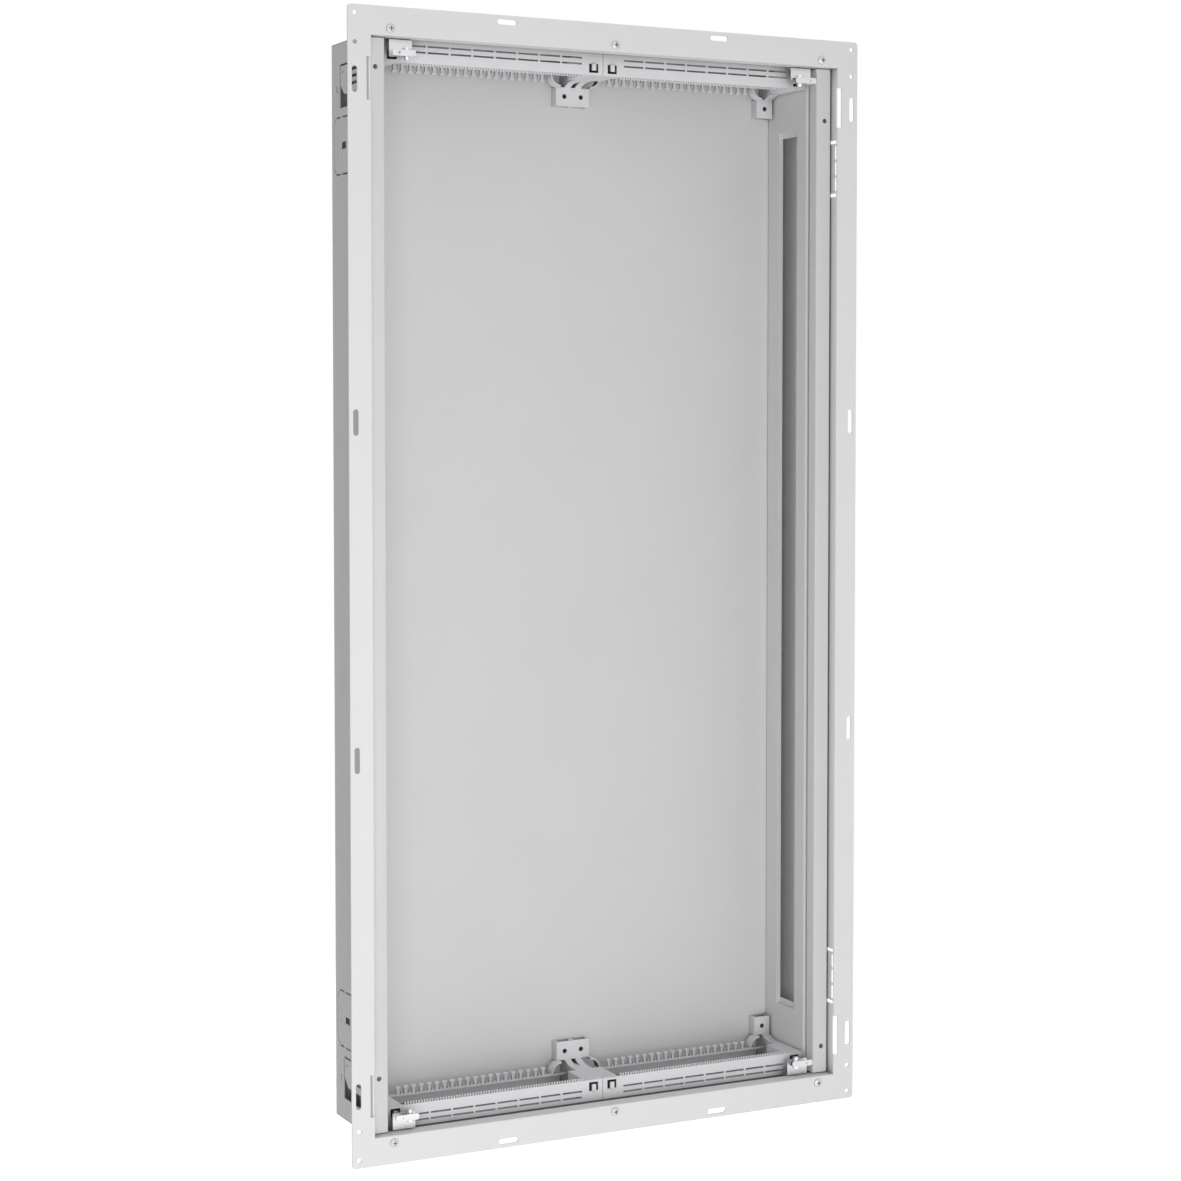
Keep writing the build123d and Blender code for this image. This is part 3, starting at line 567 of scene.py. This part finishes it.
class BOARD_OT_finish_entry_frames(bpy.types.Operator):
    """Give the cable-entry frames their plastic, their grip ribs and the nubs of their combs"""

    bl_idname = "board.finish_entry_frames"
    bl_label = "Finish entry frames"

    def execute(self, context):
        sizes = context.scene.board_mouldings
        plastic = moulded_abs("moulded_abs_light_grey", sizes)
        finish_nodes([f"entry_frame_{corner}" for corner in CORNERS], plastic)
        tree, given = start_tree("Row of bars", ("Count", "Width", "Depth", "Height"))
        line = add_node(tree, "GeometryNodeMeshToCurve", None, {"Mesh": given["Geometry"]})
        spots = add_node(tree, "GeometryNodeResampleCurve", {"mode": "COUNT"},
                         {"Curve": line.outputs["Curve"], "Count": given["Count"]})
        measure = add_node(tree, "ShaderNodeCombineXYZ", None,
                           {"X": given["Width"], "Y": given["Depth"], "Z": given["Height"]})
        bar = add_node(tree, "GeometryNodeMeshCube", None, {"Size": measure.outputs["Vector"]})
        bars = add_node(tree, "GeometryNodeInstanceOnPoints", None,
                        {"Points": spots.outputs["Curve"], "Instance": bar.outputs["Mesh"]})
        end_tree(tree, bars.outputs["Instances"], given["Material"])
        rib_ends, nub_ends = [], []
        rib_margin = sizes.arm_width + sizes.rib_pitch
        nub_reach = sizes.nub_pitch * (sizes.nub_count - 1) / 2
        for corner in CORNERS:
            low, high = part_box(f"entry_frame_{corner}")
            # Heights count from the outer edge, which is up on the top frames and down on the others
            edge, inwards = (high[2], -1) if "top" in corner else (low[2], 1)
            rib_depth = low[1] + sizes.wall_rear
            rib_height = edge + inwards * sizes.wall_height
            for side in (low[0] + rib_margin, high[0] - rib_margin):
                rib_ends.append((side, rib_depth, rib_height))
            nub_depth = high[1] - sizes.nub_depth
            nub_height = edge + inwards * sizes.nub_drop
            middle = (low[0] + high[0]) / 2
            for side in (middle - nub_reach, middle + nub_reach):
                nub_ends.append((side, nub_depth, nub_height))
        rib_count = int((rib_ends[1][0] - rib_ends[0][0]) / sizes.rib_pitch) + 1
        edges = [(first, first + 1) for first in range(0, len(rib_ends), 2)]
        for name, ends, count, size in (("grip_ribs", rib_ends, rib_count, sizes.rib_size),
                                        ("comb_nubs", nub_ends, sizes.nub_count, sizes.nub_size)):
            row = grow(name, ends, edges, tree,
                       {"Count": float(count), "Width": size[0], "Depth": size[1], "Height": size[2],
                        "Material": plastic})
            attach(row, BOARD)
        return {"FINISHED"}


class BOARD_OT_plate_catches(bpy.types.Operator):
    """Plate the catch brackets, levers and pins"""

    bl_idname = "board.plate_catches"
    bl_label = "Plate catches"

    def execute(self, context):
        plating = context.scene.board_plating
        sheet = zinc_plate("zinc_plated_steel_catch", plating.catch_colour, plating,
                           plating.catch_fold, plating.catch_clear)
        turned = zinc_plate("zinc_plated_steel_pin", plating.pin_colour, plating,
                            plating.catch_fold, plating.catch_clear)
        for corner in CORNERS:
            finish_nodes([f"catch_bracket_{corner}", f"catch_lever_{corner}"], sheet)
            finish_nodes([f"catch_pin_{corner}"], turned)
        return {"FINISHED"}


class BOARD_OT_plate_screws(bpy.types.Operator):
    """Plate the frame screws and give their shanks a thread"""

    bl_idname = "board.plate_screws"
    bl_label = "Plate screws"

    def execute(self, context):
        sizes = context.scene.board_plating
        zinc = zinc_plate("zinc_plated_steel_screw", sizes.screw_colour, sizes,
                          sizes.screw_fold, sizes.screw_clear)
        finish_nodes(["frame_screws"], zinc)
        tree, given = start_tree("Screw thread", ("Turns", "Radius", "Length", "Round"))
        helix = add_node(tree, "GeometryNodeCurveSpiral", None,
                         {"Resolution": 20, "Rotations": given["Turns"], "Start Radius": given["Radius"],
                          "End Radius": given["Radius"], "Height": given["Length"]})
        section = add_node(tree, "GeometryNodeCurvePrimitiveCircle", None,
                           {"Resolution": 5, "Radius": given["Round"]})
        ridge = add_node(tree, "GeometryNodeCurveToMesh", None,
                         {"Curve": helix.outputs["Curve"], "Profile Curve": section.outputs["Curve"],
                          "Fill Caps": True})
        laid = add_node(tree, "GeometryNodeTransform", None,
                        {"Geometry": ridge.outputs["Mesh"], "Rotation": (math.radians(-90), 0, 0)})
        copies = add_node(tree, "GeometryNodeInstanceOnPoints", None,
                          {"Points": given["Geometry"], "Instance": laid.outputs["Geometry"]})
        end_tree(tree, copies.outputs["Instances"], given["Material"])
        low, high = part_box("frame_screws")
        length = high[1] - sizes.thread_round - sizes.thread_start
        radius = sizes.shank / 2 + sizes.thread_ridge - sizes.thread_round
        columns = (low[0] + sizes.head / 2, 0, high[0] - sizes.head / 2)
        rows = (low[2] + sizes.head / 2, high[2] - sizes.head / 2)
        points = [(column, sizes.thread_start, row) for row in rows for column in columns]
        threads = grow("screw_threads", points, [], tree,
                       {"Turns": length / sizes.thread_pitch, "Radius": radius, "Length": length,
                        "Round": sizes.thread_round, "Material": zinc})
        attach(threads, BOARD)
        return {"FINISHED"}


class BOARD_OT_set_stage(bpy.types.Operator):
    """Lay the pale floor, light the board and place the camera"""

    bl_idname = "board.set_stage"
    bl_label = "Set stage"

    def execute(self, context):
        scene = context.scene
        stage = scene.board_stage
        self.lay_floor(scene, stage)
        self.light_room(scene, stage)
        for name, power, place in (("key_light", stage.key_power, stage.key_place),
                                   ("rear_light", stage.rear_power, stage.rear_place)):
            lamp = bpy.data.lights.new(name, "AREA")
            lamp.shape = "SQUARE"
            lamp.size = stage.light_size
            lamp.energy = power
            light = bpy.data.objects.new(name, lamp)
            light.location = place
            light.rotation_euler = (-light.location).to_track_quat("-Z", "Y").to_euler()
            scene.collection.objects.link(light)
        lens = bpy.data.cameras.new("photo_camera")
        lens.sensor_width = stage.sensor
        lens.lens = stage.lens
        lens.shift_y = stage.camera_shift
        camera = bpy.data.objects.new("photo_camera", lens)
        camera.location = stage.camera_place
        camera.rotation_euler = stage.camera_turn
        scene.collection.objects.link(camera)
        scene.camera = camera
        scene.view_settings.view_transform = "Standard"
        return {"FINISHED"}

    def lay_floor(self, scene, stage):
        """A pale floor that shows white but keeps a faint shadow."""
        mesh = bpy.data.meshes.new("pale_floor")
        shape = bmesh.new()
        bmesh.ops.create_grid(shape, x_segments=1, y_segments=1, size=stage.floor_half)
        bmesh.ops.translate(shape, verts=shape.verts, vec=(0, 0, CAD_BOX[0][2] - stage.floor_drop))
        shape.to_mesh(mesh)
        shape.free()
        floor = bpy.data.objects.new("pale_floor", mesh)
        scene.collection.objects.link(floor)
        material, tree = start_material("pale_floor")
        lift = add_node(tree, "ShaderNodeMath", {"operation": "MULTIPLY"},
                        {0: self.seen(tree), 1: stage.floor_lift})
        matt = add_node(tree, "ShaderNodeBsdfDiffuse", None, {"Color": tone(stage.floor_colour, 1)})
        glow = add_node(tree, "ShaderNodeEmission", None, {"Strength": lift.outputs[0]})
        both = add_node(tree, "ShaderNodeAddShader", None, {0: matt.outputs[0], 1: glow.outputs[0]})
        add_node(tree, "ShaderNodeOutputMaterial", None, {"Surface": both.outputs[0]})
        mesh.materials.append(material)

    def light_room(self, scene, stage):
        """Even light from all round, and a white backdrop for what is seen or mirrored."""
        world = bpy.data.worlds.new("white_room")
        scene.world = world
        world.use_nodes = True
        tree = world.node_tree
        tree.nodes.clear()
        way = add_node(tree, "ShaderNodeTexCoord").outputs["Generated"]
        lean = add_node(tree, "ShaderNodeVectorMath", {"operation": "DOT_PRODUCT"},
                        {0: way, 1: stage.room_lean})
        shade = add_node(tree, "ShaderNodeMath", None, {0: lean.outputs["Value"], 1: stage.room_light})
        level = add_node(tree, "ShaderNodeMapRange", None,
                         {"Value": self.seen(tree), "To Min": shade.outputs[0], "To Max": 1.0})
        light = add_node(tree, "ShaderNodeBackground", None,
                         {"Color": (1, 1, 1, 1), "Strength": level.outputs["Result"]})
        add_node(tree, "ShaderNodeOutputWorld", None, {"Surface": light.outputs[0]})

    def seen(self, tree):
        """Gives 1 to rays by which the camera, metal or glass sees the background, and 0 to the others."""
        ray = add_node(tree, "ShaderNodeLightPath")
        direct = add_node(tree, "ShaderNodeMath", {"operation": "MAXIMUM"},
                          {0: ray.outputs["Is Camera Ray"], 1: ray.outputs["Is Glossy Ray"]})
        either = add_node(tree, "ShaderNodeMath", {"operation": "MAXIMUM"},
                          {0: direct.outputs[0], 1: ray.outputs["Is Transmission Ray"]})
        return either.outputs[0]


class BOARD_PT_finish(bpy.types.Panel):
    """Lists the board's pieces and their sizes and colours"""

    bl_idname = "BOARD_PT_finish"
    bl_label = "Distribution board"
    bl_space_type = "VIEW_3D"
    bl_region_type = "UI"
    bl_category = "Board"

    def draw(self, context):
        for operator in OPERATORS:
            self.layout.operator(operator.bl_idname)
        for group in GROUPS:
            settings = getattr(context.scene, group)
            box = self.layout.box()
            for name in settings.bl_rna.properties.keys():
                if name not in ("rna_type", "name"):
                    box.prop(settings, name)


OPERATORS = (BOARD_OT_coat_sheets, BOARD_OT_finish_entry_frames, BOARD_OT_plate_catches,
             BOARD_OT_plate_screws, BOARD_OT_set_stage)
GROUPS = {"board_coats": BoardCoats, "board_mouldings": BoardMouldings, "board_plating": BoardPlating,
          "board_stage": BoardStage}


def register():
    for kind in (*GROUPS.values(), *OPERATORS, BOARD_PT_finish):
        bpy.utils.register_class(kind)
    for name, kind in GROUPS.items():
        setattr(bpy.types.Scene, name, bpy.props.PointerProperty(type=kind))


def unregister():
    for name in GROUPS:
        delattr(bpy.types.Scene, name)
    for kind in reversed((*GROUPS.values(), *OPERATORS, BOARD_PT_finish)):
        bpy.utils.unregister_class(kind)


def main():
    register()
    bpy.ops.board.coat_sheets()
    bpy.ops.board.finish_entry_frames()
    bpy.ops.board.plate_catches()
    bpy.ops.board.plate_screws()
    bpy.ops.board.set_stage()


if __name__ == "__main__":
    main()
